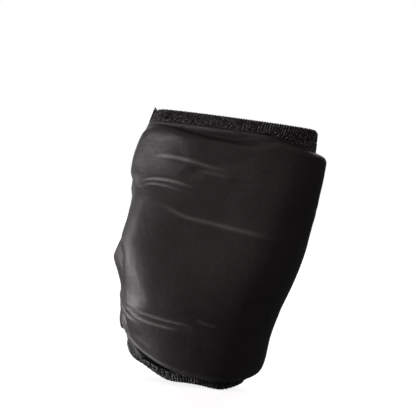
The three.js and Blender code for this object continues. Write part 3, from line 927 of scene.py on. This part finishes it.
def hem_table(edge):
    """Angles and arc lengths along an edge, all the way round."""
    angles = np.linspace(LITTLE_SEAM, LITTLE_SEAM + 360, 1441)
    return angles, arc_lengths(wall(angles, edge(angles), 1.0)[None], 1)[0]


def hem_point(hem, along, across, offset):
    """Points at distances along a hem, distances in from its edge, and offsets from the wall."""
    (angles, lengths), edge, inward = hem
    angle = np.interp(np.mod(along, lengths[-1]), lengths, angles)
    return wall(angle, edge(angle) + inward * across, offset)


def looper_path(hem, face, phase, reach, seed):
    """One thread that zigzags over a hem on one face and hooks round its edge at every stitch."""
    random = np.random.default_rng(seed)
    table = hem[0]
    length = table[1][-1]
    stitches = int(round(length / STITCH))
    pitch = length / stitches
    samples = 14
    t = np.arange(stitches * samples) / samples
    jitter = random.normal(0, 1, (4, stitches + 1))
    jitter[:, -1] = jitter[:, 0]
    wander = [np.interp(t, np.arange(stitches + 1), row) for row in jitter]
    turn = math.tau * (t + phase)
    swing = 0.5 + 0.5 * np.cos(turn)
    height = reach(np.interp(t, [0, stitches], [0, length]), table) - 0.35
    across = (height + 0.22 * wander[0]) * swing - 0.35 * (1 - swing)
    along = pitch * (t + 0.09 * np.sin(2 * turn) + 0.34 * swing + 0.10 * wander[1] * swing)
    hook = smooth(1 - swing, 0.82, 1.0)
    offset = face * (1 - hook) + 0.4 * hook + 0.10 * wander[2] * (1 - 0.5 * hook)
    return hem_point(hem, along, across, offset)


def needle_path(hem, outer, inner, reach):
    """Thread of straight stitches along a hem that dips through the cloth between them."""
    table = hem[0]
    length = table[1][-1]
    stitches = int(round(length / STITCH))
    samples = 12
    t = np.arange(stitches * samples) / samples
    dip = np.exp(-(((np.mod(t + 0.5, 1) - 0.5) / 0.11) ** 2))
    along = t * length / stitches
    across = reach(along, table) + 0.15 + 0.12 * np.sin(math.tau * t)
    return hem_point(hem, along, across, outer + (inner - outer) * dip)


def finger_reach(along, _):
    """How far the finger hem's stitches reach in from the edge at distances along it."""
    return HEM_HEIGHT + 0 * along


def wrist_reach(along, table):
    """The same for the wrist hem, which is narrow at the thumb side of the palm."""
    angle = np.interp(along, table[1], table[0])
    return WRIST_HEM_REACH - WRIST_HEM_NARROWER * bell(angle, 150, 22)


def make_hem(name, edge, inward, reach, seed):
    """The two loopers and the needle thread of a hem. inward is 1 or -1, up or down from its edge."""
    hem = (hem_table(edge), edge, inward)
    for k, label in enumerate(("upper_looper", "lower_looper")):
        path = looper_path(hem, LOOPER_FACES[k], 0.5 * k, reach, seed + k)
        make_thread(f"{name}_{label}_loops", f"{name}_{label}", [path], LOOPER, 8, True)
    path = needle_path(hem, *NEEDLE_FACES, reach)
    make_thread(f"{name}_needle_stitches", f"{name}_needle_thread", [path], NEEDLE, 7, True)


def zigzag(angles, low, high, offset, samples=8, bow=0.1):
    """Thread path that goes up and down between two heights along a run of angles."""
    path = []
    for k in range(len(angles) - 1):
        t = np.arange(samples) / samples
        angle = angles[k] + (angles[k + 1] - angles[k]) * (t + bow * np.sin(math.tau * t))
        swing = 0.5 - 0.5 * np.cos(np.pi * t) if k % 2 == 0 else 0.5 + 0.5 * np.cos(np.pi * t)
        path.append(wall(angle, low(angle) + (high(angle) - low(angle)) * swing, offset))
    return np.concatenate(path)


def edge_row_top(angle):
    return finger_hem(angle) - HEM_HEIGHT - 0.7


def edge_row_bottom(angle):
    return np.minimum(cover_top(angle) + 0.2, edge_row_top(angle) - 0.5)


def make_cover_edge_row():
    """Second row of stitches, over the cover's upper edge at the little finger end."""
    row = zigzag(np.linspace(-23, 66, 46), edge_row_bottom, edge_row_top, 1.25)
    make_thread("cover_edge_loops", "cover_edge_overlock", [row], EDGE_ROW, 8)


TACK_STROKES, TACK_HEIGHT = 17, 2.0
WHIP_LOOPS = 5
# The ear of thread at the seam's end: angle from the seam, height from the hem, and offset
EAR = np.array([(-8, -5, 1.9), (-10, -1.5, 2.1), (-11.5, 0.9, 2.2),
                (-11, 2.4, 1.9), (-9, 1.6, 1.4), (-8.5, -0.6, 1.5)])


def seam_end(seam):
    """The seam's last stitches, whipped over the finger hem, and the ear of thread they leave."""
    top = finger_hem(seam)
    turn = np.linspace(0, math.tau, 15)
    paths = []
    for k in range(WHIP_LOOPS):
        angle = seam - 6.5 - 1.1 * np.sin(turn / 2) + 1.2 * k
        z = top + 0.5 - (1.9 + 0.9 * k) * (0.5 + 0.5 * np.cos(turn))
        paths.append(wall(angle, z, 1.95 - 0.2 * k + 0.15 * np.cos(2 * turn)))
    for shift in (0, 1.3):
        z, offset = top + EAR[:, 1] - 0.3 * shift, EAR[:, 2] - 0.3 * shift
        paths.append(wall(seam + EAR[:, 0] + shift, z, offset))
    return paths


def to_and_fro(count, steps, phase=0):
    """Places along a run of strokes, and how far to either side the thread is there, from -1 to 1."""
    fine = np.linspace(0, count - 1, count * steps)
    side = np.where((np.arange(count) + phase) % 2 == 0, -1, 1)
    return fine, np.interp(fine, np.arange(count), side)


def make_seam(node, seam, low=None, high=None):
    """Overlocked seam allowance inside the sleeve, with the needle's short bars across the groove.

    It runs from hem to hem where no height is given.
    """
    low = wrist_hem(seam) + SEAM_MARGIN if low is None else low
    high = finger_hem(seam) - SEAM_MARGIN if high is None else high
    count = int((high - low) / (STITCH / 2))
    random = np.random.default_rng(len(node))
    paths = []
    for phase, layer in enumerate((-0.45, -0.85)):
        fine, swing = to_and_fro(count, 6, phase)
        z = np.interp(fine, np.arange(count), np.linspace(low, high, count))
        wander = np.interp(fine, np.arange(count), random.normal(0, 0.05, count))
        paths.append(wall(seam + 5 * np.sin(swing * math.pi / 2), z, layer + wander))
    bar, bar_offset = np.linspace(seam - 3, seam + 3, 6), 0.55 - 0.25 * np.abs(np.linspace(-1, 1, 6))
    paths += [wall(bar, z, bar_offset) for z in np.arange(low, high, STITCH)]
    if low > HOLE_MIDDLE:
        paths += seam_end(seam)
    make_thread(node + "_loops", node, paths, SEAM_THREAD, 6)


def make_hole_stitch():
    """Running stitch inside the turned edge of the thumb hole."""
    steps = 480
    turn = math.tau * np.arange(steps) / steps
    cos = np.cos(turn)
    cut = np.where(cos > 0, HOLE_BACK, HOLE_FRONT)
    margin = 2.6
    angle = THUMB_SEAM + (cut + 2 * margin) * np.sign(cos) * np.abs(cos) ** (2 * HOLE_POWER)
    z = HOLE_MIDDLE + (HOLE_HALF + margin) * np.sin(turn)
    offset = -0.5 - 0.25 * np.cos(turn * 40)
    path = wall(angle, z, offset)
    make_thread("thumb_hole_stitches", "thumb_hole_stitch", [path], HOLE_THREAD, 6, True)


def make_bartack(node, z):
    """A small block of zigzag stitches over the seam, from height z up."""
    fine, swing = to_and_fro(TACK_STROKES, 7)
    z = z + TACK_HEIGHT * fine / (TACK_STROKES - 1)
    path = wall(THUMB_SEAM + 6.5 * swing, z, 1.35 - 0.35 * swing**2)
    make_thread(node + "_stitches", node, [path], TACK_THREAD, 6)


def finish_piece(piece, slot, *nodes):
    """Names the piece's body and hides the CAD nodes it replaces; slot is not used."""
    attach(piece, BODY)
    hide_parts(*nodes)


# ---- Stage ----
FLOOR_SIZE, FLOOR_GAP = 12.0, 0.0001
FLOOR_GLOW = 0.8
WORLD_LIGHT = 0.085  # what light the white background gives
# Lamp on the thumb side, low: place, target, strength, cone in degrees, radius
KEY_LIGHT = (-0.502, -0.14, 0.012), (-0.02, -0.01, 0.03), 44, 23.6, 0.11
# Lamps far away: direction, strength, spread in degrees, colour
FILL_LIGHT = (0.12, -0.68, 0.72), 0.56, 60, (1.0, 0.87, 0.86)
BACK_LIGHT = (-0.12, 0.91, 0.40), 1.8, 70, (1.0, 0.97, 0.96)


def add_stage():
    """Pale glowing floor that neither lights the piece nor casts shadows on it."""
    n = Nodes("floor")
    n.set(Base_Color=(0.86, 0.86, 0.86, 1), Roughness=0.9, Specular_IOR_Level=0.2,
          Emission_Color=(1, 1, 1, 1), Emission_Strength=FLOOR_GLOW)
    mesh = bpy.data.meshes.new("floor")
    half = FLOOR_SIZE / 2
    low = min(cad_box[0][2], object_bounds()[0][2]) - FLOOR_GAP
    corners = [(-half, -half, low), (half, -half, low), (half, half, low), (-half, half, low)]
    mesh.from_pydata(corners, [], [(0, 1, 2, 3)])
    mesh.materials.append(n.material)
    floor = placed("floor", mesh)
    floor.visible_diffuse = floor.visible_glossy = floor.visible_shadow = False


def add_lamp(name, kind, strength, towards):
    """A lamp that shines from the direction towards which it lies, seen from the piece."""
    lamp = bpy.data.lights.new(name, kind)
    lamp.energy = strength
    thing = placed(name, lamp)
    x, y, z = towards
    thing.rotation_euler = (math.atan2(math.hypot(x, y), z), 0, math.atan2(x, -y))
    return thing


def add_sun(name, towards, strength, spread, colour):
    lamp = add_lamp(name, "SUN", strength, towards).data
    lamp.color = colour
    lamp.angle = math.radians(spread)


def add_spot(name, place, target, strength, cone, radius):
    spot = add_lamp(name, "SPOT", strength, [a - b for a, b in zip(place, target)])
    spot.location = place
    spot.data.spot_size = math.radians(cone)
    spot.data.spot_blend = 1.0
    spot.data.shadow_soft_size = radius


def add_lights():
    add_spot("key light", *KEY_LIGHT)
    add_sun("fill light", *FILL_LIGHT)
    add_sun("back light", *BACK_LIGHT)
    world = bpy.data.worlds.new("studio")
    bpy.context.scene.world = world
    world.use_nodes = True
    tree = world.node_tree
    seen = tree.nodes["Background"]
    seen.inputs["Color"].default_value = (1, 1, 1, 1)
    soft = tree.nodes.new("ShaderNodeBackground")
    soft.inputs["Strength"].default_value = WORLD_LIGHT
    choose = tree.nodes.new("ShaderNodeMixShader")
    ray = tree.nodes.new("ShaderNodeLightPath")
    tree.links.new(ray.outputs["Is Camera Ray"], choose.inputs[0])
    tree.links.new(soft.outputs[0], choose.inputs[1])
    tree.links.new(seen.outputs[0], choose.inputs[2])
    tree.links.new(choose.outputs[0], tree.nodes["World Output"].inputs["Surface"])
    bpy.context.scene.view_settings.view_transform = "Standard"


add_camera()
make_cover()
make_pad()
make_lining()
make_back()
make_hem("finger_hem", finger_hem, -1, finger_reach, 11)
make_hem("wrist_hem", wrist_hem, 1, wrist_reach, 23)
make_cover_edge_row()
make_seam("little_finger_seam_thread", LITTLE_SEAM)
make_seam("thumb_seam_upper_thread", THUMB_SEAM, low=HOLE_MIDDLE + HOLE_HALF + HOLE_MARGIN)
make_seam("thumb_seam_lower_thread", THUMB_SEAM, high=HOLE_MIDDLE - HOLE_HALF - HOLE_MARGIN)
make_hole_stitch()
make_bartack("thumb_hole_upper_bartack", HOLE_MIDDLE + HOLE_HALF + 0.4)
make_bartack("thumb_hole_lower_bartack", HOLE_MIDDLE - HOLE_HALF - 2.4)
add_stage()
add_lights()
